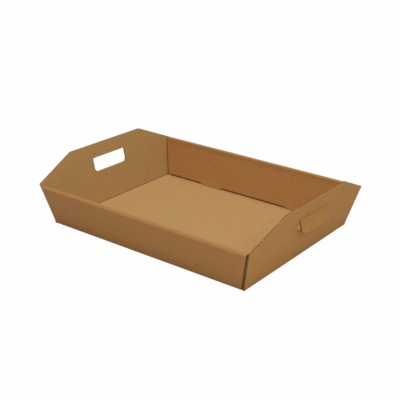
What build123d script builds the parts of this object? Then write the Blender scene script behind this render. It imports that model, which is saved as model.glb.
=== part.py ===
"""Folded tray box of fluted board, in millimetres.

The tray is one die-cut sheet: a base, two tall end panels with hand holes, and two long walls that roll over
at the top and come back down inside as a second layer, held by tabs in slots of the base.
The origin is the centre of the base's underside, +X runs to the right end, +Y to the back wall and +Z up.
Each hand hole keeps the flap that was cut out of it, hanging on a crease at the hole's upper edge.
"""

from build123d import *
import math
import os

os.makedirs("parts", exist_ok=True)

# Board
board = 3.0  # thickness of the fluted board
slack = 0.1  # air between two layers that lie together
fold_radius = 3.4  # outside radius of the folds at the base
roll_radius = 3.8  # outside radius of the two creases along the top of a long wall
corner_radius = 2.6  # outside radius of the upright fold between an end panel and its corner flap

# Tray, measured over the outer faces
base_length = 400.0
base_width = 318.0
lean = 13.75  # degrees that all four walls lean outwards
back_wall_slope = 76.0  # up the back wall's outer face, from the base to the top crease
front_wall_slope = 70.5  # the same for the front wall, which is a little lower
end_slope = 111.4  # up an end panel's outer face, from the base to its top edge
end_top_width = 185.0  # straight part of the end panel's top edge
shoulder_slope = 75.0  # where the slanted upper edges of the end panel start
corner_inset = 0.4  # the end panels' upright folds lie just inside the long walls' outer faces

# Inner layer of a long wall, and its tabs
inner_bottom = 5.8  # height of the inner layer's lower edge
tab_left = -118.0
tab_right = -64.0
tab_bevel = 17.0
tab_spacing = 193.0
tab_bend = 8.0  # height at which a tab turns further in
tab_lean = 24.0  # degrees
tab_bottom = 1.7
slot_gap = 0.5
slot_width = 6.0

# Long walls: (side of the tray, slope height, gap to the left end panel, gap to the right one)
long_walls = ((1, back_wall_slope, 3.2, 1.6), (-1, front_wall_slope, 0.5, 3.3))

# Corner flaps, folded in between the two layers of a long wall
corner_flap_length = 70.0
corner_flap_low = 5.0
corner_flap_high = 63.0
corner_flap_taper = 8.0

# Hand holes and their flaps
hole_width = 85.0
hole_low = 60.0  # up the slope from the base to the hole's lower edge
hole_high = 86.0
hole_low_round = 8.0
hole_high_round = 3.0
cut_gap = 0.4  # between a flap and the sides of its hole
flap_height = 25.3
flap_top_gap = 0.5
crease_offset = 0.3  # the crease turns just outside the panel's outer face
right_flap_angle = 32.0  # degrees outwards from closed
left_flap_angle = 150.0

# Worked out from the sizes above
sine = math.sin(math.radians(lean))
cosine = math.cos(math.radians(lean))
tangent = sine / cosine
half_length = base_length / 2
half_width = base_width / 2
layer = board + slack
three_layers = 3 * board + 2 * slack
fold_reach = fold_radius * math.tan(math.radians(45 - lean / 2))  # from a base fold's corner to its flat part
inner_half_width = half_width - three_layers / cosine
base_lap = 1.0  # how far a wall's section runs into the base
overshoot = 30.0  # how far cutting shapes run past the tray


def wall_plane(side, distance):
    """Outer face of the long wall at side +1 or -1, moved inwards: local y runs up the slope, z outwards."""
    start = side * (half_width - distance / cosine)
    return Plane(origin=(0, start, 0), x_dir=(-side, 0, 0), z_dir=(0, side * cosine, -sine))


def end_plane(side, distance):
    """Outer face of the end at side +1 or -1, moved inwards: local y runs up the slope, z outwards."""
    start = side * (half_length - distance / cosine)
    return Plane(origin=(start, 0, 0), x_dir=(0, side, 0), z_dir=(side * cosine, 0, -sine))


def section_point(distance, slope):
    """(y, z) of the back wall's section, a distance inwards from its outer face and some way up its slope."""
    across = half_width - distance * cosine + slope * sine
    return (across, slope * cosine + distance * sine)


def inner_face_y(height):
    """y of the inner layer's visible face at a height."""
    return inner_half_width + height * tangent


# Long walls, each in one run of board: base fold, outer layer, rolled top and inner layer, with its tabs.
# Both are drawn as the back wall, cut to length with their own gaps, and the front one is mirrored into place.
tab_tilt = math.radians(tab_lean)
tab_start = (0, inner_face_y(tab_bend), tab_bend)
tab_plane = Plane(origin=tab_start, x_dir=(1, 0, 0), z_dir=(0, -math.cos(tab_tilt), math.sin(tab_tilt)))
edge_drop, neck_drop, tip_drop = [
    (tab_bend - height) / math.cos(tab_tilt) for height in (inner_bottom, board, tab_bottom)
]
finished_walls = []
for side, wall_slope, left_gap, right_gap in long_walls:
    with BuildPart() as long_wall:
        with BuildSketch(Plane.YZ):
            with BuildLine():
                FilletPolyline(
                    (half_width - fold_reach - base_lap, 0),
                    (half_width, 0),
                    section_point(0, wall_slope),
                    section_point(three_layers, wall_slope),
                    (inner_face_y(inner_bottom), inner_bottom),
                    radius=[fold_radius, roll_radius, roll_radius],
                )
                offset(amount=board, side=Side.LEFT)
            make_face()
        extrude(amount=half_length + overshoot, both=True)

        # Tabs, turned further in than the layer above them to reach their slots
        with BuildSketch(tab_plane):
            with Locations((0, 0), (tab_spacing, 0)):
                with BuildLine():
                    Polyline(
                        (tab_left, 0),
                        (tab_left, -edge_drop),
                        (tab_left + tab_bevel, -neck_drop),
                        (tab_left + tab_bevel, -tip_drop),
                        (tab_right, -tip_drop),
                        (tab_right, 0),
                        close=True,
                    )
                make_face()
        extrude(amount=-board)
        split(bisect_by=end_plane(-1, board + left_gap), keep=Keep.BOTTOM)
        split(bisect_by=end_plane(1, board + right_gap), keep=Keep.BOTTOM)
    finished_walls.append(long_wall.part if side > 0 else long_wall.part.mirror(Plane.XZ))

# Base with the slots for the tabs of both walls
slot_length = tab_right - tab_left - tab_bevel + 2 * slot_gap
slot_centre = (tab_left + tab_bevel + tab_right) / 2
slot_y = inner_face_y(tab_bend) + board / 2 / math.cos(tab_tilt) - (tab_bend - board / 2) * math.tan(tab_tilt)
with BuildPart() as base:
    with BuildSketch(Plane.XY):
        Rectangle(base_length - 2 * fold_reach, base_width - 2 * fold_reach)
        with Locations((slot_centre, slot_y), (slot_centre + tab_spacing, slot_y)):
            Rectangle(slot_length, slot_width, mode=Mode.SUBTRACT)
        with Locations((slot_centre, -slot_y), (slot_centre + tab_spacing, -slot_y)):
            Rectangle(slot_length, slot_width, mode=Mode.SUBTRACT)
    extrude(amount=board)

# Right end panel with its folds at the base and down both sides
with BuildPart() as end_panel:
    with BuildSketch(Plane.XZ):
        with BuildLine():
            FilletPolyline(
                (half_length - fold_reach - base_lap, 0),
                (half_length, 0),
                (half_length + (end_slope + overshoot) * sine, (end_slope + overshoot) * cosine),
                radius=fold_radius,
            )
            offset(amount=board, side=Side.LEFT)
        make_face()
    extrude(amount=half_width + overshoot, both=True)
    split(bisect_by=Plane.YZ.offset(half_length - fold_reach), keep=Keep.TOP)
    split(bisect_by=wall_plane(1, corner_inset), keep=Keep.BOTTOM)
    split(bisect_by=wall_plane(-1, corner_inset), keep=Keep.BOTTOM)
    upright_folds = end_panel.edges().filter_by(
        lambda edge: edge.length > end_slope
        and abs(edge.center().X - half_length - edge.center().Z * tangent) < slack
    )
    fillet(upright_folds, corner_radius)

    # Slanted upper edges and straight top edge
    with BuildSketch(end_plane(1, 0)):
        with BuildLine():
            Polyline(
                (-half_width - shoulder_slope * sine, shoulder_slope),
                (-end_top_width / 2, end_slope),
                (end_top_width / 2, end_slope),
                (half_width + shoulder_slope * sine, shoulder_slope),
                (half_width + shoulder_slope * sine, -overshoot),
                (-half_width - shoulder_slope * sine, -overshoot),
                close=True,
            )
        make_face()
    extrude(amount=overshoot, both=True, mode=Mode.INTERSECT)

    # Corner flaps, set back behind the long walls' outer layers
    for side in (1, -1):
        with BuildSketch(wall_plane(side, layer)):
            with BuildLine():
                Polyline(
                    (-side * (half_length - board / 2 + corner_flap_low * sine), corner_flap_low),
                    (-side * (half_length - board / 2 + corner_flap_high * sine), corner_flap_high),
                    (-side * (half_length - corner_flap_length + corner_flap_taper), corner_flap_high),
                    (-side * (half_length - corner_flap_length), corner_flap_low + corner_flap_taper),
                    (-side * (half_length - corner_flap_length), corner_flap_low),
                    close=True,
                )
            make_face()
        extrude(amount=-board)

    # Hand hole
    with BuildSketch(end_plane(1, 0)) as hand_hole:
        with Locations((0, (hole_low + hole_high) / 2)):
            Rectangle(hole_width, hole_high - hole_low)
        fillet(hand_hole.vertices().group_by(Axis.Y)[0], hole_low_round)
        fillet(hand_hole.vertices().group_by(Axis.Y)[-1], hole_high_round)
    extrude(amount=2 * board, both=True, mode=Mode.SUBTRACT)

# The whole sheet
with BuildPart() as tray:
    add(base.part)
    add(end_panel.part)
    add(end_panel.part.mirror(Plane.YZ))
    add(finished_walls)
tray.part.label = "tray"
export_step(tray.part, "parts/tray.step")

# Flaps of the hand holes, each hanging on its crease at the angle it was left at
crease_x = half_length + hole_high * sine + crease_offset * cosine
crease_z = hole_high * cosine - crease_offset * sine
for name, side, angle in (("handle_flap_right", 1, right_flap_angle), ("handle_flap_left", -1, left_flap_angle)):
    turn = math.radians(angle - lean)
    flap_normal = (side * math.cos(turn), 0, math.sin(turn))
    crease = Plane(origin=(side * crease_x, 0, crease_z), x_dir=(0, side, 0), z_dir=flap_normal)
    with BuildPart() as handle_flap:
        with BuildSketch(crease.offset(-crease_offset)) as flap_outline:
            with Locations((0, -(flap_height + flap_top_gap) / 2)):
                Rectangle(hole_width - 2 * cut_gap, flap_height - flap_top_gap)
            fillet(flap_outline.vertices().group_by(Axis.Y)[0], hole_low_round - cut_gap)
            fillet(flap_outline.vertices().group_by(Axis.Y)[-1], hole_high_round)
        extrude(amount=-board)
    handle_flap.part.label = name
    export_step(handle_flap.part, f"parts/{name}.step")
    print(name, "crease at", round(side * crease_x, 2), round(crease_z, 2))
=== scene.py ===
# %% [markdown]
# # A folded tray box of fluted kraft board
# The object is one die-cut sheet of corrugated board, folded up into a tray. Its two long walls roll over
# at the top and come down again inside, and each end has a hand hole whose flap still hangs on its crease.
# The lesson builds the sheet the way a box maker thinks of it: flat, with the folds as rules.

# %% Load the frame
import math

import bpy
from mathutils import Matrix, Vector


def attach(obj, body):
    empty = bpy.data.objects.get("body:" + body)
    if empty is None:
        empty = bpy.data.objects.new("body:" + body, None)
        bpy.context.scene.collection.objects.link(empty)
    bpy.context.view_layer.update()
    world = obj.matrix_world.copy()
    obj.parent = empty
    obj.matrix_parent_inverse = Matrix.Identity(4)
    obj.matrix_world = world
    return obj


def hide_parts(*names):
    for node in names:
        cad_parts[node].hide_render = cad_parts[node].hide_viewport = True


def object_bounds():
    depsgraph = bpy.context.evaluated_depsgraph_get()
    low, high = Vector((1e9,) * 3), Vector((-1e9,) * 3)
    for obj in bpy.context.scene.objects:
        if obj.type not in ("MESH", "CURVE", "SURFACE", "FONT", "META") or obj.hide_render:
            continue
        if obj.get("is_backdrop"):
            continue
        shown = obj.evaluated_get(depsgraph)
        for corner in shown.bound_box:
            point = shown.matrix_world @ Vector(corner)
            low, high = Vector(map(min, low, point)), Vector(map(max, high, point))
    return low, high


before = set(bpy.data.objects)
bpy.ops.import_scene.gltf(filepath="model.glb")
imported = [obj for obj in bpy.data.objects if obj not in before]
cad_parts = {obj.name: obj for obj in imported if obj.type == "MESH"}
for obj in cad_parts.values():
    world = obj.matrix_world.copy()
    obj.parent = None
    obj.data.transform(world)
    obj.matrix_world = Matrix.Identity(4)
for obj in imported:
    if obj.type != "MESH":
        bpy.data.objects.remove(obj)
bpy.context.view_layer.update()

# %% [markdown]
# ## Camera
# A long lens from the front right corner, a little above the rim, shows the inside, the front wall and one
# end at once. The camera is placed by a point to look at, a bearing, a height angle and a distance, because
# those are the numbers to change one at a time when a picture is set up.

# %% Camera
MM = 0.001
LOOK_AT = Vector((-24.4, 28.9, 30.0)) * MM
BEARING = math.radians(36.34)
ELEVATION = math.radians(22.23)
ROLL = math.radians(1.3)
DISTANCE = 1484.8 * MM

camera_data = bpy.data.cameras.new("camera")
camera_data.lens = 74.4
camera = bpy.data.objects.new("camera", camera_data)
bpy.context.scene.collection.objects.link(camera)
level = Vector((math.sin(BEARING), -math.cos(BEARING), 0))
back = level * math.cos(ELEVATION) + Vector((0, 0, math.sin(ELEVATION)))
aim = (-back).to_track_quat("-Z", "Y").to_matrix().to_4x4()
place = Matrix.Translation(LOOK_AT + DISTANCE * back)
camera.matrix_world = place @ aim @ Matrix.Rotation(ROLL, 4, "Z")
bpy.context.scene.camera = camera
print("camera stands at", [round(c, 3) for c in camera.matrix_world.translation])

# %% [markdown]
# ## Colours and nodes
# Paper colours are written as the hex values a designer would pick, and one function turns them into the
# linear numbers that the shaders work in. A second function adds a node with its settings and its inputs,
# so that a material reads as a short list of what goes into what.

# %% Colour and node helpers
def paint(hex_colour):
    """Linear RGBA of an sRGB hex colour."""
    channels = [int(hex_colour[i:i + 2], 16) / 255 for i in (1, 3, 5)]
    linear = [c / 12.92 if c <= 0.04045 else ((c + 0.055) / 1.055) ** 2.4 for c in channels]
    return (*linear, 1.0)


def add_node(tree, kind, inputs=None, **settings):
    """Adds a node, a shader node by its short name.

    Inputs are nodes, which give their first output, or sockets or plain values.
    """
    node = tree.nodes.new(kind if "Node" in kind else "ShaderNode" + kind)
    for name, value in settings.items():
        setattr(node, name, value)
    for key, value in (inputs or {}).items():
        if isinstance(value, bpy.types.Node):
            value = value.outputs[0]
        if isinstance(value, bpy.types.NodeSocket):
            tree.links.new(value, node.inputs[key])
        else:
            node.inputs[key].default_value = value
    return node


def new_material(name):
    """A new material, its node tree and its Principled shader."""
    material = bpy.data.materials.new(name)
    material.use_nodes = True
    return material, material.node_tree, material.node_tree.nodes["Principled BSDF"]


# %% [markdown]
# ## Floor and sky
# Packs are shot on a white sweep. The floor and the sky are white to the camera by themselves, so no extra
# light has to fall on the board to make them so, and a small part of the floor stays a plain surface, which
# keeps the object's soft shadow.

# %% Floor and sky
FLOOR_SIZE = 12.0
FLOOR_GLOW = 0.975  # how much of the floor the camera sees as plain white
SKY = 0.25


def watched(tree):
    """1 for the rays that show the background: straight, mirrored or passed through."""
    rays = add_node(tree, "LightPath")
    seen = rays.outputs["Is Camera Ray"]
    for other in ("Is Glossy Ray", "Is Transmission Ray"):
        seen = add_node(tree, "Math", {0: seen, 1: rays.outputs[other]}, operation="MAXIMUM").outputs[0]
    return seen


half = FLOOR_SIZE / 2
corners = [(-half, -half, 0), (half, -half, 0), (half, half, 0), (-half, half, 0)]
floor_mesh = bpy.data.meshes.new("floor")
floor_mesh.from_pydata(corners, [], [(0, 1, 2, 3)])
floor = bpy.data.objects.new("floor", floor_mesh)
bpy.context.scene.collection.objects.link(floor)
floor.location.z = -0.2 * MM
floor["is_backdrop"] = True

sweep, tree, shader = new_material("matt white sweep")
shader.inputs["Base Color"].default_value = paint("#F6F4F1")
shader.inputs["Roughness"].default_value = 0.9
shader.inputs["Specular IOR Level"].default_value = 0.1
share = add_node(tree, "Math", {0: watched(tree), 1: FLOOR_GLOW}, operation="MULTIPLY")
glow = add_node(tree, "Emission", {"Color": (1, 1, 1, 1), "Strength": 1.0})
mix = add_node(tree, "MixShader", {0: share, 1: shader, 2: glow})
tree.links.new(mix.outputs[0], tree.nodes["Material Output"].inputs["Surface"])
floor_mesh.materials.append(sweep)

world = bpy.data.worlds.new("white studio")
bpy.context.scene.world = world
world.use_nodes = True
tree = world.node_tree
tree.nodes.clear()
fill = add_node(tree, "Background", {"Color": (1, 1, 1, 1), "Strength": SKY})
white = add_node(tree, "Background", {"Color": (1, 1, 1, 1), "Strength": 1.0})
mix = add_node(tree, "MixShader", {0: watched(tree), 1: fill, 2: white})
add_node(tree, "OutputWorld", {"Surface": mix})
print("floor and sky are white to the camera, sky light is", SKY)

# %% [markdown]
# ## Lamps
# One broad lamp stands high on the right and in front, and gives the flap its shadow. A wider one hangs
# overhead, which makes the base the brightest face and leaves the walls a tone darker each.

# %% Lamps
KEY_POWER = 12.2
OVERHEAD_POWER = 38.7


def add_lamp(name, direction, distance, size, power):
    """A square soft lamp that shines at the tray from a direction."""
    data = bpy.data.lights.new(name, "AREA")
    data.size = size
    data.energy = power
    lamp = bpy.data.objects.new(name, data)
    towards = Vector(direction).normalized()
    turn = towards.to_track_quat("Z", "Y").to_matrix().to_4x4()
    lamp.matrix_world = Matrix.Translation(towards * distance) @ turn
    bpy.context.scene.collection.objects.link(lamp)


add_lamp("key", (0.65, -0.47, 0.60), 2.2, 0.5, KEY_POWER)
add_lamp("overhead", (0.0, 0.1, 1.0), 2.4, 1.8, OVERHEAD_POWER)
bpy.context.scene.view_settings.view_transform = "Standard"
print("two lamps of", KEY_POWER, "and", OVERHEAD_POWER, "W")

# %% [markdown]
# ## Kraft paper
# Both faces of the board are kraft liner: unbleached paper, matt, with soft cloudy patches, long pulp fibres
# that lie along the making direction, and small dark specks of bark. The outer liner is redder. The fluted
# paper behind it prints through as faint ribs, clearest on the long walls, whose board was bent and rolled.
# All patterns read the sheet's flat layout through the UV map, so they turn with each fold as paper does.

# %% Kraft liner
BOARD = 3.0  # mm, B-flute board
FLUTE = 6.4  # mm from one flute to the next


def kraft(name, colour, rib_depth, rib_shade):
    """Kraft liner. rib_depth is in mm, and rib_shade is how much painted shade darkens the valleys between
    ribs.
    """
    material, tree, shader = new_material(name)
    flat = add_node(tree, "UVMap", uv_map="flat_layout")
    # Clouds of about 20 mm, from uneven pulp
    clouds = add_node(tree, "TexNoise", {"Vector": flat, "Scale": 45.0, "Detail": 4.0})
    dark, light = [(*(c * k for c in paint(colour)[:3]), 1.0) for k in (0.93, 1.07)]
    pulp = add_node(tree, "Mix", {0: clouds, 6: dark, 7: light}, data_type="RGBA")
    # Fibres about 1 mm wide and 4 mm long, and specks of bark about 1 mm across
    along = add_node(tree, "Mapping", {"Vector": flat, "Scale": (1.0, 0.25, 1.0)})
    fibres = add_node(tree, "TexNoise", {"Vector": along, "Scale": 800.0, "Detail": 3.0})
    fibre_tone = add_node(tree, "MapRange", {0: fibres, 1: 0.3, 2: 0.7, 3: 0.88, 4: 1.12})
    specks = add_node(tree, "TexNoise", {"Vector": flat, "Scale": 700.0, "Detail": 2.0})
    speck_tone = add_node(tree, "MapRange", {0: specks, 1: 0.27, 2: 0.36, 3: 0.75, 4: 1.0})
    tone = add_node(tree, "Math", {0: fibre_tone, 1: speck_tone}, operation="MULTIPLY")
    # Ribs, a wave across the flutes, with painted shade in the valleys between them
    across = add_node(tree, "SeparateXYZ", {0: flat})
    turns = add_node(tree, "Math", {0: across, 1: 2 * math.pi / (FLUTE * MM)}, operation="MULTIPLY")
    wave = add_node(tree, "Math", {0: turns}, operation="SINE")
    rib_valley_shade = add_node(tree, "Math", {0: wave, 1: rib_shade, 2: 1.0}, operation="MULTIPLY_ADD")
    tone = add_node(tree, "Math", {0: tone, 1: rib_valley_shade}, operation="MULTIPLY")
    # The crease attribute darkens pressed creases, partly as pressed paper and partly as painted shade; it
    # also holds painted shade deep in the corner gaps and inside the walls' folds, and painted highlight and
    # light on the walls' outer folds and inner layer
    crease = add_node(tree, "Attribute", attribute_name="crease").outputs["Fac"]
    crease_and_shading_tone = add_node(tree, "Math", {0: crease, 1: -0.4, 2: 1.0}, operation="MULTIPLY_ADD")
    tone = add_node(tree, "Math", {0: tone, 1: crease_and_shading_tone}, operation="MULTIPLY")
    toned = add_node(tree, "VectorMath", {0: pulp.outputs[2], 1: tone}, operation="MULTIPLY")
    tree.links.new(toned.outputs[0], shader.inputs["Base Color"])
    # Relief: the ribs, and fibres of 0.05 mm
    ribs = add_node(tree, "Math", {0: wave, 1: rib_depth * MM}, operation="MULTIPLY")
    relief = add_node(tree, "Math", {0: fibres, 1: 0.05 * MM, 2: ribs}, operation="MULTIPLY_ADD")
    bump = add_node(tree, "Bump", {"Height": relief, "Distance": 1.0})
    tree.links.new(bump.outputs[0], shader.inputs["Normal"])
    shader.inputs["Roughness"].default_value = 0.8
    shader.inputs["Specular IOR Level"].default_value = 0.25
    return material


wall_liner = kraft("kraft outer liner bent over flutes", "#B07D47", 0.05, 0.04)
outer_liner = kraft("kraft outer liner", "#AE7D42", 0.01, 0.008)
inner_liner = kraft("kraft inner liner", "#B58D57", 0.01, 0.008)

# %% [markdown]
# ## Cut edges
# Where the die cut across the flutes, the edge shows the wavy paper between its two liners, and hollows.
# Where it cut along a flute, only the liners and one plain line show. One material draws both, because its
# wave depends on the place across the flutes, and along a flute that place stands still. The hollows get
# painted shade, only a tone darker than the paper, because the cut crushes the board a little.

# %% Cut edge
def cut_board(name):
    """Die-cut board edge. U is the place across the flutes and V the place through the board, in metres."""
    material, tree, shader = new_material(name)
    flat = add_node(tree, "UVMap", uv_map="flat_layout")
    place = add_node(tree, "SeparateXYZ", {0: flat})
    turns = add_node(tree, "Math", {0: place, 1: 2 * math.pi / (FLUTE * MM)}, operation="MULTIPLY")
    wave = add_node(tree, "Math", {0: turns}, operation="SINE")
    middle, reach = BOARD / 2 * MM, (BOARD / 2 - 0.5) * MM
    flute = add_node(tree, "Math", {0: wave, 1: reach, 2: middle}, operation="MULTIPLY_ADD")
    papers = []
    # Nearness to the flute's paper, then to the liners
    for centre, near, far in ((flute, 0.2, 0.45), (middle, None, None)):
        offset = add_node(tree, "Math", {0: place.outputs[1], 1: centre}, operation="SUBTRACT")
        offset = add_node(tree, "Math", {0: offset}, operation="ABSOLUTE")
        if near is None:
            near, far = BOARD / 2 - 0.35, BOARD / 2 - 0.55
        papers.append(add_node(tree, "MapRange", {0: offset, 1: near * MM, 2: far * MM, 3: 1.0, 4: 0.0}))
    paper = add_node(tree, "Math", {0: papers[0], 1: papers[1]}, operation="MAXIMUM")
    fuzz = add_node(tree, "TexNoise", {"Vector": flat, "Scale": 1400.0, "Detail": 3.0})
    fibre = add_node(tree, "Mix", {0: fuzz, 6: paint("#A0743F"), 7: paint("#C0945C")}, data_type="RGBA")
    # Painted shade in the flute hollows, a tone darker than the paper
    hollow_shade = paint("#7E5530")
    colour = add_node(tree, "Mix", {0: paper, 6: hollow_shade, 7: fibre.outputs[2]}, data_type="RGBA")
    tree.links.new(colour.outputs[2], shader.inputs["Base Color"])
    bump = add_node(tree, "Bump", {"Height": paper, "Distance": 0.3 * MM})
    tree.links.new(bump.outputs[0], shader.inputs["Normal"])
    shader.inputs["Roughness"].default_value = 0.9
    shader.inputs["Specular IOR Level"].default_value = 0.15
    return material


cut_edge = cut_board("die-cut edge of B-flute board")
FINISHES = (wall_liner, outer_liner, inner_liner, cut_edge)
WALL, OUTER, INNER, EDGE = range(4)
print("materials:", [m.name for m in FINISHES])

# %% [markdown]
# ## A sheet with two faces
# The board could be a plane with a Solidify modifier, but then a fold has no say in how thick it stays.
# Here a sheet is a set of nodes, and each node knows its outer point, its inner point and its place in the
# flat layout. Cells join nodes. The rim is found, not drawn: an edge that only one cell uses is a cut edge.

# %% Sheet of board
class Board:
    """A folded sheet under construction, in mm."""

    def __init__(self):
        self.outer, self.inner, self.flat, self.crease = [], [], [], []
        self.index, self.cells = {}, []

    def node(self, outer, inner, flat, crease=(0.0, 0.0)):
        """The node at these places, made if it isn't there yet. crease darkens or lightens its outer and
        inner face, as pressed creases and as painted light and shade.
        """
        key = tuple(round(c, 2) for c in (*outer, *inner))
        if key not in self.index:
            self.index[key] = len(self.outer)
            self.outer.append(Vector(outer))
            self.inner.append(Vector(inner))
            self.flat.append(flat)
            self.crease.append(crease)
        return self.index[key]

    def cell(self, nodes, outside, inside):
        """One cell of the sheet, with the finishes of its two faces."""
        nodes = [n for i, n in enumerate(nodes) if n != nodes[i - 1]]
        if len(nodes) < 3:
            return
        a, b, c = (self.outer[n] for n in nodes[:3])
        outwards = sum((self.outer[n] - self.inner[n] for n in nodes), Vector())
        if (b - a).cross(c - a).dot(outwards) < 0:
            nodes.reverse()
        self.cells.append((nodes, outside, inside))

    def grid(self, rows, outside, inside, skip=None):
        """Joins rows of nodes into cells, but for those that skip(row, column) names."""
        for i in range(len(rows) - 1):
            for j in range(len(rows[i]) - 1):
                if not (skip and skip(i, j)):
                    corners = [rows[i][j], rows[i][j + 1], rows[i + 1][j + 1], rows[i + 1][j]]
                    self.cell(corners, outside, inside)

    def to_object(self, name, place=None):
        """The closed mesh: both faces and the cut edges between them."""
        place = place or Matrix.Identity(4)
        count = len(self.outer)
        points = [place @ (p * MM) for p in self.outer + self.inner]
        polygons, finishes, layout, uses = [], [], [], {}
        for nodes, outside, inside in self.cells:
            reverse = nodes[::-1]
            polygons += [nodes, [n + count for n in reverse]]
            finishes += [outside, inside]
            layout += [[self.flat[n] for n in nodes], [self.flat[n] for n in reverse]]
            for a, b in zip(nodes, nodes[1:] + nodes[:1]):
                uses.setdefault(frozenset((a, b)), []).append((a, b))
        for edge in uses.values():
            if len(edge) == 1:
                a, b = edge[0]
                polygons.append([b, a, a + count, b + count])
                finishes.append(EDGE)
                u, v = self.flat[a][0], self.flat[b][0]
                layout.append([(v, BOARD), (u, BOARD), (u, 0), (v, 0)])
        mesh = bpy.data.meshes.new(name)
        # Only the nodes that some cell uses become points of the mesh
        used = sorted({n for corners in polygons for n in corners})
        new_index = {n: i for i, n in enumerate(used)}
        faces = [[new_index[n] for n in corners] for corners in polygons]
        mesh.from_pydata([points[n] for n in used], [], faces)
        for finish in FINISHES:
            mesh.materials.append(finish)
        mesh.polygons.foreach_set("material_index", finishes)
        flat_layout = mesh.uv_layers.new(name="flat_layout")
        places = [c * MM for corners in layout for place_uv in corners for c in place_uv]
        flat_layout.uv.foreach_set("vector", places)
        # The crease attribute holds pressed crease lines and painted light and shade, for each point
        marks = mesh.attributes.new("crease", "FLOAT", "POINT")
        crease = [c[0] for c in self.crease] + [c[1] for c in self.crease]
        marks.data.foreach_set("value", [crease[n] for n in used])
        mesh.polygons.foreach_set("use_smooth", [finish != EDGE for finish in finishes])
        mesh.set_sharp_from_angle(angle=math.radians(40))
        made = bpy.data.objects.new(name, mesh)
        bpy.context.scene.collection.objects.link(made)
        print(name, "has", len(self.cells), "cells and", len(mesh.polygons), "faces")
        return made


# %% [markdown]
# ## Fold paths
# Seen from the side, every strip of the tray is a path of straight runs and round folds. The outer face
# follows the path, and the inner face lies one board thickness inside it. The path also keeps how far along
# the flat sheet each point is, measured in the middle of the board, and how much of a fold it is.

# %% Fold path
def fold_path(corners, radii, run_step):
    """[(outer point, inner point, distance, fold)] of a strip that turns left at its corners, 2D in mm."""
    corners = [Vector(c) for c in corners]
    path, distance, start = [], 0.0, corners[0]
    for k in range(1, len(corners)):
        ahead = (corners[k] - corners[k - 1]).normalized()
        left = Vector((-ahead.y, ahead.x))
        last = k == len(corners) - 1
        after = ahead if last else (corners[k + 1] - corners[k]).normalized()
        turn = 0.0 if last else ahead.angle(after)
        radius = 0.0 if last else radii[k - 1]
        end = corners[k] - ahead * radius * math.tan(turn / 2)
        run = (end - start).length
        steps = max(1, round(run / run_step))
        for i in range(1 if path else 0, steps + 1):
            point = start.lerp(end, i / steps)
            path.append((point, point + left * BOARD, distance + run * i / steps, 0.0))
        distance += run
        if not last:
            centre = end + left * radius
            bends = 8
            arc = turn * (radius - BOARD / 2)
            for i in range(1, bends + 1):
                arm = Matrix.Rotation(turn * i / bends, 2) @ (-left)
                inner = centre + arm * (radius - BOARD)
                fold = math.sin(math.pi * i / bends)
                path.append((centre + arm * radius, inner, distance + arc * i / bends, fold))
            distance += arc
            start = corners[k] + after * radius * math.tan(turn / 2)
    return path


# %% [markdown]
# ## Sizes of the tray
# All lengths are in mm and belong to the flat sheet or its folds. The four walls lean outwards by one angle,
# which is what lets empty trays nest. A roll of three layers needs a flat top as wide as three boards.

# %% Sizes
LEAN = math.radians(13.75)
SINE, COSINE, TANGENT = math.sin(LEAN), math.cos(LEAN), math.tan(LEAN)
HALF_LENGTH = 200.0
HALF_WIDTH = 159.0
WALL_SLOPES = {1: 76.0, -1: 70.5}  # up the back and front walls' outer faces, to their top creases
END_SLOPE = 111.4  # up an end panel's outer face, to its top edge
SHOULDER_SLOPE = 75.0
TOP_HALF = 92.5
FOLD_RADIUS, ROLL_RADIUS = 3.4, 3.8
SLACK = 0.1
LAYER = BOARD + SLACK
THREE_LAYERS = 3 * BOARD + 2 * SLACK
FOLD_REACH = FOLD_RADIUS * math.tan(math.pi / 4 - LEAN / 2)
BASE_X = HALF_LENGTH - FOLD_REACH
BASE_Y = HALF_WIDTH - FOLD_REACH
INNER_BOTTOM = 5.8  # height of the inner layer's lower edge
TAB_LEFT, TAB_RIGHT, TAB_BEVEL, TAB_SPACING = -118.0, -64.0, 17.0, 193.0
TAB_BEND, TAB_BOTTOM, TAB_LEAN = 8.0, 1.7, math.radians(24.0)
SLOT_GAP, SLOT_WIDTH = 0.5, 6.0
WALL_GAPS = {1: (3.2, 1.6), -1: (0.5, 3.3)}  # beside the end panels, left and right
CORNER_INSET = 0.4
CORNER_RADIUS = 2.6
HOLE_HALF, HOLE_LOW, HOLE_HIGH = 42.5, 60.0, 86.0  # half width of a hand hole, and its edges up the slope
HOLE_LOW_ROUND, HOLE_HIGH_ROUND = 8.0, 3.0
STEADY = 52.0  # an end's columns nearer the middle than this run straight up
CREASE_AND_SHADE_MARK = 1.4  # the pressed line inside the folds of the ends, darker partly as pressed paper and partly as painted shade
INNER_LAYER_PAINTED_LIGHT = -0.45  # painted light, which makes the inner layer's face lighter
print("end panels reach x", round(HALF_LENGTH + END_SLOPE * SINE, 1), "mm")


def spread(marks, step):
    """The marks in order, with even divisions between them no wider than a step."""
    marks = sorted(set(round(m, 4) for m in marks))
    line = [marks[0]]
    for a, b in zip(marks, marks[1:]):
        parts = max(1, math.ceil((b - a) / step))
        line += [a + (b - a) * i / parts for i in range(1, parts + 1)]
    return line


def wall_limit(side, end, height):
    """x of a long wall's side edge at a height. side is the wall, end is -1 left or +1 right."""
    gap = WALL_GAPS[side][0 if end < 0 else 1]
    return end * (HALF_LENGTH - (BOARD + gap) / COSINE + height * TANGENT)


def inner_y(height):
    """y of the inner layer's visible face at a height."""
    return HALF_WIDTH - THREE_LAYERS / COSINE + height * TANGENT
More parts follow.
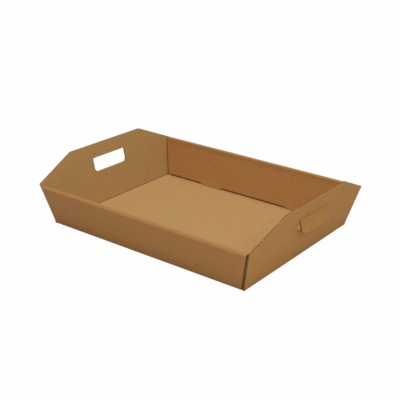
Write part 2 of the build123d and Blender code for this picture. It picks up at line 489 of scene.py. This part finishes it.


# %% [markdown]
# ## Base
# The base is the flat middle of the sheet, with four slots for the lock tabs. Its grid lines are chosen so
# that every strip that folds up from it starts on one of them. Lines close to the folds keep the pressed
# crease and its painted shade narrow, because its mark fades out over one cell.

# %% Base
slot_y = inner_y(TAB_BEND) + BOARD / 2 / math.cos(TAB_LEAN) - (TAB_BEND - BOARD / 2) * math.tan(TAB_LEAN)
slot_x = [(TAB_LEFT + TAB_BEVEL - SLOT_GAP + s, TAB_RIGHT + SLOT_GAP + s) for s in (0, TAB_SPACING)]
slot_rows = [(side * slot_y - SLOT_WIDTH / 2, side * slot_y + SLOT_WIDTH / 2) for side in (-1, 1)]
wall_ends = [wall_limit(side, end, BOARD / 2) for side in (-1, 1) for end in (-1, 1)]
tab_marks = [mark + s for mark in (TAB_LEFT, TAB_LEFT + TAB_BEVEL, TAB_RIGHT) for s in (0, TAB_SPACING)]
edge_marks = [sign * (BASE_X - near) for near in (0, 1.6) for sign in (-1, 1)]
base_x = spread([*edge_marks, *wall_ends, *tab_marks, *slot_x[0], *slot_x[1]], 20.0)
edge_marks = [sign * (BASE_Y - near) for near in (0, 1.2) for sign in (-1, 1)]
hole_marks = [sign * (HOLE_HALF - r) for r in (0, HOLE_LOW_ROUND, HOLE_HIGH_ROUND) for sign in (-1, 1)]
base_y = spread([*edge_marks, *slot_rows[0], *slot_rows[1], *hole_marks, -STEADY, STEADY], 20.0)


def on_end_fold(x):
    """Marks the base's grid lines that lie on an end's fold."""
    return (0.0, CREASE_AND_SHADE_MARK) if abs(abs(x) - BASE_X) < 0.01 else (0.0, 0.0)


def cut_for_tab(i, j):
    """True where the base's cell is cut out for a tab."""
    x, y = (base_x[j] + base_x[j + 1]) / 2, (base_y[i] + base_y[i + 1]) / 2
    return any(a < x < b for a, b in slot_x) and any(a < y < b for a, b in slot_rows)


tray = Board()
base_rows = [[tray.node((x, y, 0), (x, y, BOARD), (x, y), on_end_fold(x)) for x in base_x] for y in base_y]
tray.grid(base_rows, OUTER, INNER, cut_for_tab)
print("base has", len(tray.cells), "cells, and slots", round(slot_y, 1), "mm from the middle")

# %% [markdown]
# ## Long walls
# One strip makes the base fold, the outer layer, the rolled top with its two creases, and the inner layer.
# Its side edges lean with the ends, so each row of nodes is a little longer than the one below it. The
# inner layer's lower edge has two tabs, turned further in, that lock in the slots of the base.

# %% Long walls
def section_point(distance, slope):
    """(y, z) of a long wall's section, a distance inwards from its outer face and some way up its slope."""
    return (HALF_WIDTH - distance * COSINE + slope * SINE, slope * COSINE + distance * SINE)


def wall_path(side):
    """The strip of the back wall (+1) or the front wall (-1), from the base to the tabs' bend."""
    corners = [(BASE_Y, 0), (HALF_WIDTH, 0), section_point(0, WALL_SLOPES[side])]
    corners += [section_point(THREE_LAYERS, WALL_SLOPES[side]), (inner_y(TAB_BEND), TAB_BEND)]
    return fold_path(corners, [FOLD_RADIUS, ROLL_RADIUS, ROLL_RADIUS], 12.0)


def wall_row(side, outer, inner, distance, fold, columns):
    """Nodes of one row of a long wall. columns are its x places at the base fold.

    The outer face is a tone darker on its flat runs and gets a painted highlight on the folds, the folds'
    inner face gets painted shade, and the inner layer's face gets painted light.
    """
    low, high = (wall_limit(side, end, BOARD / 2) for end in (-1, 1))
    middle = (outer[1] + inner[1]) / 2
    left_shift, right_shift = wall_limit(side, -1, middle) - low, wall_limit(side, 1, middle) - high
    last_tab = TAB_RIGHT + TAB_SPACING
    row = []
    for x in columns:
        place = x
        if x < TAB_LEFT:
            place += left_shift * (TAB_LEFT - x) / (TAB_LEFT - low)
        if x > last_tab:
            place += right_shift * (x - last_tab) / (high - last_tab)
        flat = (place, side * (BASE_Y + distance))
        outer_point = (place, side * outer[0], outer[1])
        inner_point = (place, side * inner[0], inner[1])
        outer_painted_shading = INNER_LAYER_PAINTED_LIGHT if distance > WALL_SLOPES[side] + 6.0 else 0.18 - 0.3 * fold
        row.append(tray.node(outer_point, inner_point, flat, (outer_painted_shading, fold)))
    return row


def is_tab(x):
    """True where a tab hangs from the inner layer."""
    return any(TAB_LEFT + s - 0.01 < x < TAB_RIGHT + s + 0.01 for s in (0, TAB_SPACING))


down = Vector((-SINE, -COSINE))
kick = Vector((-math.sin(TAB_LEAN), -math.cos(TAB_LEAN)))
kick_across = Vector((math.cos(TAB_LEAN), -math.sin(TAB_LEAN))) * BOARD
drop = (TAB_BEND - INNER_BOTTOM) / COSINE
neck = (TAB_BEND - BOARD) / math.cos(TAB_LEAN)
tip = (TAB_BEND - TAB_BOTTOM) / math.cos(TAB_LEAN)


def tab_node(side, bend, x, run):
    """A node of a tab, some way below its bend, which is the last step of the wall's path."""
    outer = bend[0] + kick * run
    inner = outer + kick_across
    flat = (x, side * (BASE_Y + bend[2] + run))
    return tray.node((x, side * outer.x, outer.y), (x, side * inner.x, inner.y), flat)


for side in (-1, 1):
    low, high = (wall_limit(side, end, BOARD / 2) for end in (-1, 1))
    columns = [x for x in base_x if low - 0.01 < x < high + 0.01]
    path = wall_path(side)
    bend = path[-1]
    rows = [wall_row(side, *step, columns) for step in path]
    tray.grid(rows, WALL, INNER)
    # Lower edge of the inner layer, between the tabs
    edge_step = (bend[0] + down * drop, bend[1] + down * drop, bend[2] + drop, 0.0)
    edge = wall_row(side, *edge_step, columns)

    def tab_hangs(i, j):
        """True where a tab takes the place of the plain lower edge."""
        return is_tab((columns[j] + columns[j + 1]) / 2)

    tray.grid([rows[-1], edge], WALL, INNER, tab_hangs)
    # Tabs: a bevelled upper part, and a neck that goes down into the slot
    for s in (0, TAB_SPACING):
        left, bevel_end, right = TAB_LEFT + s, TAB_LEFT + TAB_BEVEL + s, TAB_RIGHT + s
        places = [j for j, x in enumerate(columns) if left - 0.01 < x < right + 0.01]
        shares = [min(1.0, (columns[j] - left) / TAB_BEVEL) for j in places]
        upper = [tab_node(side, bend, columns[j], drop + (neck - drop) * k) for j, k in zip(places, shares)]
        tray.grid([[rows[-1][j] for j in places], upper], WALL, INNER)
        straight = [k for k, j in enumerate(places) if columns[j] > bevel_end - 0.01]
        lower = [tab_node(side, bend, columns[places[k]], tip) for k in straight]
        tray.grid([[upper[k] for k in straight], lower], WALL, INNER)
    print("long wall strip", side, "is", round(bend[2], 1), "mm long from base to tabs")

# %% [markdown]
# ## End panels
# Each end is a strip that folds up from the base and widens with the lean, up to the shoulders, and then
# narrows to its straight top edge. The hand hole sits on the grid, and fans of cells fill its corners up to
# a quarter circle. Down each side the panel folds once more, into a corner flap that hides inside the long
# wall, behind its outer layer. The upright fold is what shows beside the dark gap at each corner.

# %% End panels
FLAP_LOW, FLAP_HIGH, FLAP_LENGTH, FLAP_TAPER = 5.0, 63.0, 70.0, 8.0

end_corners = [(BASE_X, 0), (HALF_LENGTH, 0), (HALF_LENGTH + END_SLOPE * SINE, END_SLOPE * COSINE)]
# The first point is left out, because the fold starts where the base ends
fold_steps = fold_path(end_corners, [FOLD_RADIUS], 400.0)[1:-1]
fold_length = fold_steps[-1][2] - FOLD_REACH
hole_slopes = [HOLE_LOW, HOLE_LOW + HOLE_LOW_ROUND, HOLE_HIGH - HOLE_HIGH_ROUND, HOLE_HIGH]
slope_marks = [FOLD_REACH, FOLD_REACH + 1.6, FLAP_LOW, FLAP_HIGH, SHOULDER_SLOPE, END_SLOPE]
slopes = spread([*slope_marks, *hole_slopes], 8.0)[1:]


def corner_point(end, side, a, b, height):
    """A point a mm inside an end's outer face and b mm inside a long wall's outer face, at a height."""
    x = HALF_LENGTH - a / COSINE + height * TANGENT
    y = HALF_WIDTH - b / COSINE + height * TANGENT
    return (end * x, side * y, height)


def chamfer_back(slope):
    """How far the slanted upper edge has come in from the panel's full width."""
    full = HALF_WIDTH - CORNER_INSET / COSINE + SHOULDER_SLOPE * SINE
    rise = max(0.0, slope - SHOULDER_SLOPE)
    return rise * ((full - TOP_HALF) / (END_SLOPE - SHOULDER_SLOPE) + SINE)


def end_nodes(end, outer, inner, distance, fold, slope):
    """One row of an end panel: the panel's nodes, and those of the chamfers' cut edges left and right."""
    flat_x = end * (BASE_X + distance)
    mark = (0.0, CREASE_AND_SHADE_MARK) if slope < FOLD_REACH + 0.01 else (0.0, 0.0)
    with_flap = FLAP_LOW - 0.01 < slope < FLAP_HIGH + 0.01
    to_arc = (CORNER_INSET + CORNER_RADIUS) / COSINE
    arc_outer = HALF_WIDTH - to_arc + outer[1] * TANGENT - chamfer_back(slope)
    arc_outer += (BASE_Y + to_arc - HALF_WIDTH) * max(0.0, 1 - slope / FLAP_LOW)
    arc_inner = arc_outer - (3.7 if with_flap else 0.0)
    row = []
    for y in base_y:
        share = max(0.0, (abs(y) - STEADY) / (BASE_Y - STEADY))
        steady = min(abs(y), STEADY)
        places = [math.copysign(steady + share * (arc - STEADY), y) for arc in (arc_outer, arc_inner)]
        outer_point = (end * outer[0], places[0], outer[1])
        inner_point = (end * inner[0], places[1], inner[1])
        row.append(tray.node(outer_point, inner_point, (flat_x, places[0]), mark))
    sides = []
    for side in (-1, 1):
        y = side * (HALF_WIDTH - CORNER_INSET / COSINE + outer[1] * TANGENT - chamfer_back(slope))
        outer_point, inner_point = (end * outer[0], y, outer[1]), (end * inner[0], y, inner[1])
        sides.append(tray.node(outer_point, inner_point, (flat_x, y), mark))
    return [sides[0], *row, sides[1]]


def slope_point(slope, inwards=0.0):
    """(x, z) on an end panel, some way up its slope and inwards from its outer face."""
    return (HALF_LENGTH + slope * SINE - inwards * COSINE, slope * COSINE + inwards * SINE)


# Section through the upright fold: (a, b) of the outer face, and (a, b) of the inner face
upright_fold = []
for k in range(1, 7):
    turn = math.pi / 2 * k / 6
    a, b = CORNER_RADIUS * (1 - math.cos(turn)), CORNER_INSET + CORNER_RADIUS * (1 - math.sin(turn))
    upright_fold.append(((a, b), (BOARD + 0.03 * k, 6.5 - 0.06 * k)))
upright_fold += [((3.0, 0.5), (3.25, 6.1)), ((3.2, 0.9), (3.35, 6.1)), ((3.35, 2.3), (3.5, 6.1))]
upright_fold += [((3.9, LAYER), (3.9, LAYER + BOARD)), ((20, LAYER), (20, LAYER + BOARD))]


def section_row(end, side, slope, first, section):
    """A row's nodes along a section, from the panel's side column on. Deep in the gap the paper gets painted
    shade.
    """
    height = slope * COSINE
    row = [first]
    for (a, b), (inner_a, inner_b) in section:
        outer = corner_point(end, side, a, b, height)
        inner = corner_point(end, side, inner_a, inner_b, height + BOARD * SINE)
        flat = (end * (BASE_X + fold_length + slope), side * (HALF_WIDTH + slope * SINE + a))
        # Painted shade, stronger deeper in the corner gap, and none from 10 mm on
        shade = min(1.2, max(0.0, a - 0.6)) if a < 10 else 0.0
        row.append(tray.node(outer, inner, flat, (shade, shade)))
    return row


def edge_row(end, side, slope, first):
    """Above and below the corner flap the panel's edge is pressed round like the fold beside it."""
    section = [(outer, (BOARD, 3.0 - 0.42 * k)) for k, (outer, _) in enumerate(upright_fold[:6])]
    return section_row(end, side, slope, first, section)


def flap_row(end, side, slope, first):
    """Nodes around the upright fold and along the corner flap."""
    height = slope * COSINE
    taper = FLAP_TAPER * min(1.0, max(0.0, (slope - 13) / (FLAP_HIGH - 13)))
    far = (FLAP_LENGTH - taper + height * TANGENT) * COSINE
    section = [*upright_fold, ((far, LAYER), (far, LAYER + BOARD))]
    return section_row(end, side, slope, first, section)


def hole_corner(end, side, slope, radius, up):
    """Fills a corner of the hand hole up to its quarter circle."""
    def at(y, s):
        (xo, zo), (xi, zi) = slope_point(s), slope_point(s, BOARD)
        return tray.node((end * xo, y, zo), (end * xi, y, zi), (end * (BASE_X + fold_length + s), y))

    centre_y, centre_s = side * (HOLE_HALF - radius), slope + up * radius
    turns = [math.pi / 2 * k / 8 for k in range(9)]
    arc = [at(centre_y + side * radius * math.cos(t), centre_s - up * radius * math.sin(t)) for t in turns]
    # The grid's nodes along the two straight sides of the corner
    near, middle_s, middle_y = radius / 2 + 0.01, slope + up * radius / 2, side * (HOLE_HALF - radius / 2)
    upright = [at(side * HOLE_HALF, s) for s in slopes if abs(s - middle_s) < near]
    level = [at(y, slope) for y in base_y if abs(y - middle_y) < near]
    for line, spoke in ((upright, arc[1]), (level, arc[-2])):
        for a, b in zip(line, line[1:]):
            tray.cell([a, b, spoke], OUTER, INNER)
    tip_node = at(side * HOLE_HALF, slope)
    for a, b in zip(arc[1:-1], arc[2:-1]):
        tray.cell([tip_node, a, b], OUTER, INNER)


for end in (-1, 1):
    levels = [FOLD_REACH * i / (len(fold_steps) - 1) for i in range(len(fold_steps))]
    rows = [end_nodes(end, *step, slope) for step, slope in zip(fold_steps, levels)]
    for slope in slopes:
        outer, inner = slope_point(slope), slope_point(slope, BOARD)
        rows.append(end_nodes(end, outer, inner, fold_length + slope, 0.0, slope))
        levels.append(slope)

    def left_out(i, j):
        """True for cells in the hand hole, and for side cells where the corner flaps fold away."""
        middle = (levels[i] + levels[i + 1]) / 2
        if j in (0, len(rows[i]) - 2):
            return FOLD_REACH < middle < SHOULDER_SLOPE
        y = (base_y[j - 1] + base_y[j]) / 2
        return abs(y) < HOLE_HALF and HOLE_LOW < middle < HOLE_HIGH

    tray.grid(rows, OUTER, INNER, left_out)
    for side, column in ((-1, 1), (1, -2)):
        below, above = (edge_row, FOLD_REACH, FLAP_LOW), (edge_row, FLAP_HIGH, SHOULDER_SLOPE)
        for make_row, low, high in ((flap_row, FLAP_LOW, FLAP_HIGH), below, above):
            taken = [i for i, s in enumerate(levels) if low - 0.01 < s < high + 0.01]
            tray.grid([make_row(end, side, levels[i], rows[i][column]) for i in taken], OUTER, INNER)
        hole_corner(end, side, HOLE_LOW, HOLE_LOW_ROUND, 1)
        hole_corner(end, side, HOLE_HIGH, HOLE_HIGH_ROUND, -1)
print("the sheet has", len(tray.outer), "nodes")

# %% Make the tray
tray_sheet = tray.to_object("tray_sheet")
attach(tray_sheet, "tray")
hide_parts("tray")

# %% [markdown]
# ## Nicks
# The die leaves the blank hanging in its frame by a few uncut nicks. When the blank is stripped out, each one
# tears off as a small tuft of paper on the cut edge. The tufts repeat at set places along the ends' upper
# edges, so Geometry Nodes puts one on every point of a path, with a little difference in size.

# %% Nicks along the cut edges
NICK_SIZE = Vector((3.2, 1.6, 1.2))  # mm along the edge, through the board, and up, half of it sunk
NICK_PLACES = (-146.0, -110.0, -65.0, 11.0, 67.0, 112.0, 148.0)  # mm from the middle of an end
NICK_SUNK = 0.2  # how far a tuft's middle lies below the edge
NICK_SEED = 7

torn, tree, shader = new_material("torn kraft paper fibres")
place = add_node(tree, "TexCoord").outputs["Object"]
fluff = add_node(tree, "TexNoise", {"Vector": place, "Scale": 1500.0, "Detail": 3.0})
tone = add_node(tree, "Mix", {0: fluff, 6: paint("#B98B52"), 7: paint("#DDB985")}, data_type="RGBA")
tree.links.new(tone.outputs[2], shader.inputs["Base Color"])
bump = add_node(tree, "Bump", {"Height": fluff, "Distance": 0.3 * MM})
tree.links.new(bump.outputs[0], shader.inputs["Normal"])
shader.inputs["Roughness"].default_value = 0.95
shader.inputs["Specular IOR Level"].default_value = 0.1


def upper_edge_point(end, y):
    """A place on an end's upper edge, towards the outer face, and the direction in which the edge faces."""
    full = HALF_WIDTH - CORNER_INSET / COSINE + SHOULDER_SLOPE * SINE
    share = min(1.0, max(0.0, (full - abs(y)) / (full - TOP_HALF)))
    slope = SHOULDER_SLOPE + (END_SLOPE - SHOULDER_SLOPE) * share
    x, z = slope_point(slope - NICK_SUNK, 0.35 * BOARD)
    up = Vector((SINE * end, 0, COSINE))
    if abs(y) > TOP_HALF:
        run = Vector((0, math.copysign(full - TOP_HALF, y), 0)) - up * (END_SLOPE - SHOULDER_SLOPE)
        up = run.normalized().cross(Vector((COSINE * end, 0, -SINE)))
        up = -up if up.z < 0 else up
    return Vector((end * x, y, z)), up


places = [upper_edge_point(end, y) for end in (-1, 1) for y in NICK_PLACES]
nick_mesh = bpy.data.meshes.new("nicks")
nick_mesh.from_pydata([p * MM for p, _ in places], [], [])
facing = nick_mesh.attributes.new("facing", "FLOAT_VECTOR", "POINT")
facing.data.foreach_set("vector", [c for _, up in places for c in up])
nicks = bpy.data.objects.new("nicks", nick_mesh)
bpy.context.scene.collection.objects.link(nicks)

group = bpy.data.node_groups.new("nicks on points", "GeometryNodeTree")
sockets = {}
for name, kind in (("Points", "Geometry"), ("Nick size", "Vector"), ("Seed", "Int"), ("Paper", "Material")):
    sockets[name] = group.interface.new_socket(name, in_out="INPUT", socket_type="NodeSocket" + kind)
group.interface.new_socket("Nicks", in_out="OUTPUT", socket_type="NodeSocketGeometry")
given = group.nodes.new("NodeGroupInput").outputs
ball = add_node(group, "GeometryNodeMeshIcoSphere", {"Radius": 0.5, "Subdivisions": 3})
tuft = add_node(group, "GeometryNodeTransform", {"Geometry": ball, "Scale": given["Nick size"]})
facing = add_node(group, "GeometryNodeInputNamedAttribute", {"Name": "facing"}, data_type="FLOAT_VECTOR")
level = add_node(group, "FunctionNodeAlignRotationToVector", {"Vector": (0, 1, 0)}, axis="X")
turned = add_node(group, "FunctionNodeAlignRotationToVector", {"Rotation": level, "Vector": facing}, axis="Z")
share = add_node(group, "FunctionNodeRandomValue", {2: 0.7, 3: 1.0, "Seed": given["Seed"]}, data_type="FLOAT")
placed = add_node(group, "GeometryNodeInstanceOnPoints", {"Points": given["Points"], "Instance": tuft})
group.links.new(turned.outputs[0], placed.inputs["Rotation"])
group.links.new(share.outputs[1], placed.inputs["Scale"])
real = add_node(group, "GeometryNodeRealizeInstances", {"Geometry": placed})
papered = add_node(group, "GeometryNodeSetMaterial", {"Geometry": real, "Material": given["Paper"]})
add_node(group, "NodeGroupOutput", {"Nicks": papered})

maker = nicks.modifiers.new("nicks", "NODES")
maker.node_group = group
for name, value in (("Nick size", NICK_SIZE * MM), ("Seed", NICK_SEED), ("Paper", torn)):
    maker[sockets[name].identifier] = value
evaluated = nicks.evaluated_get(bpy.context.evaluated_depsgraph_get())
plain = bpy.data.meshes.new_from_object(evaluated)
nicks.modifiers.remove(maker)
nicks.data = plain
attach(nicks, "tray")
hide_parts("tray")
print(len(places), "nicks, with", len(plain.polygons), "faces")

# %% [markdown]
# ## Hand-hole flaps
# Each flap is the piece that was cut out of its hole. It turns on a crease along the hole's upper edge, so
# it is a sheet of its own that rides on its own body. A thin bead of bent liner sits exactly on the crease,
# round about its axis, so that it fits at every angle. The flaps are a hair smaller than their holes.

# %% Hand-hole flaps
FLAP_HALF, FLAP_TOP, FLAP_BOTTOM = 42.1, 0.5, 25.3
FLAP_LOW_ROUND, FLAP_HIGH_ROUND = 7.6, 3.0
CREASE_OFFSET = 0.3  # from the panel's outer face out to the crease's axis
crease_x = HALF_LENGTH + HOLE_HIGH * SINE + CREASE_OFFSET * COSINE
crease_z = HOLE_HIGH * COSINE - CREASE_OFFSET * SINE


def flap_half(drop):
    """Half the flap's width, some way below its crease."""
    for radius, depth in ((FLAP_HIGH_ROUND, drop - FLAP_TOP), (FLAP_LOW_ROUND, FLAP_BOTTOM - drop)):
        if depth < radius:
            depth = max(0.0, depth)
            return FLAP_HALF - radius + math.sqrt(radius ** 2 - (radius - depth) ** 2)
    return FLAP_HALF


# (drop below the crease, outer face, inner face) from the bead down to the flap's full thickness
bead = [(-0.25, 0.03, -0.04), (-0.17, 0.17, -0.17), (0.0, 0.25, -0.25)]
bead += [(0.25, 0.1, -0.7), (0.45, -0.15, -1.4)]
flap_steps = [FLAP_TOP, 0.7, 1.2, 2.0, 3.5, 7.0, 11.0, 15.0, 17.7, 20.5, 22.5, 24.0, 24.9, FLAP_BOTTOM]
face, back_face = -CREASE_OFFSET, -CREASE_OFFSET - BOARD
for name, side, angle in (("handle_flap_right", 1, 32.0), ("handle_flap_left", -1, 150.0)):
    flap = Board()
    rows = []
    for drop_by, top, bottom in [*bead, *((d, face, back_face) for d in flap_steps)]:
        width = flap_half(drop_by)
        places = [width * k / 12 for k in range(-12, 13)]
        flat_x = BASE_X + fold_length + HOLE_HIGH - drop_by
        row = [flap.node((y, -drop_by, top), (y, -drop_by, bottom), (flat_x, y)) for y in places]
        rows.append(row)
    flap.grid(rows, OUTER, INNER)
    turn = math.radians(angle) - LEAN
    normal = Vector((side * math.cos(turn), 0, math.sin(turn)))
    along = Vector((0, side, 0))
    axes = Matrix((along, normal.cross(along), normal)).transposed().to_4x4()
    place = Matrix.Translation(Vector((side * crease_x, 0, crease_z)) * MM) @ axes
    sheet = flap.to_object(name + "_sheet", place)
    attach(sheet, name)
    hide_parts(name)

# %% [markdown]
# ## Size of the visual model
# The visual model has to stay in the frame's box, because parts made elsewhere are placed by that box. Its
# size is printed.

# %% Sizes for the record, and finish
low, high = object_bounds()
print("visual box in mm", [round(1000 * (b - a), 1) for a, b in zip(low, high)])
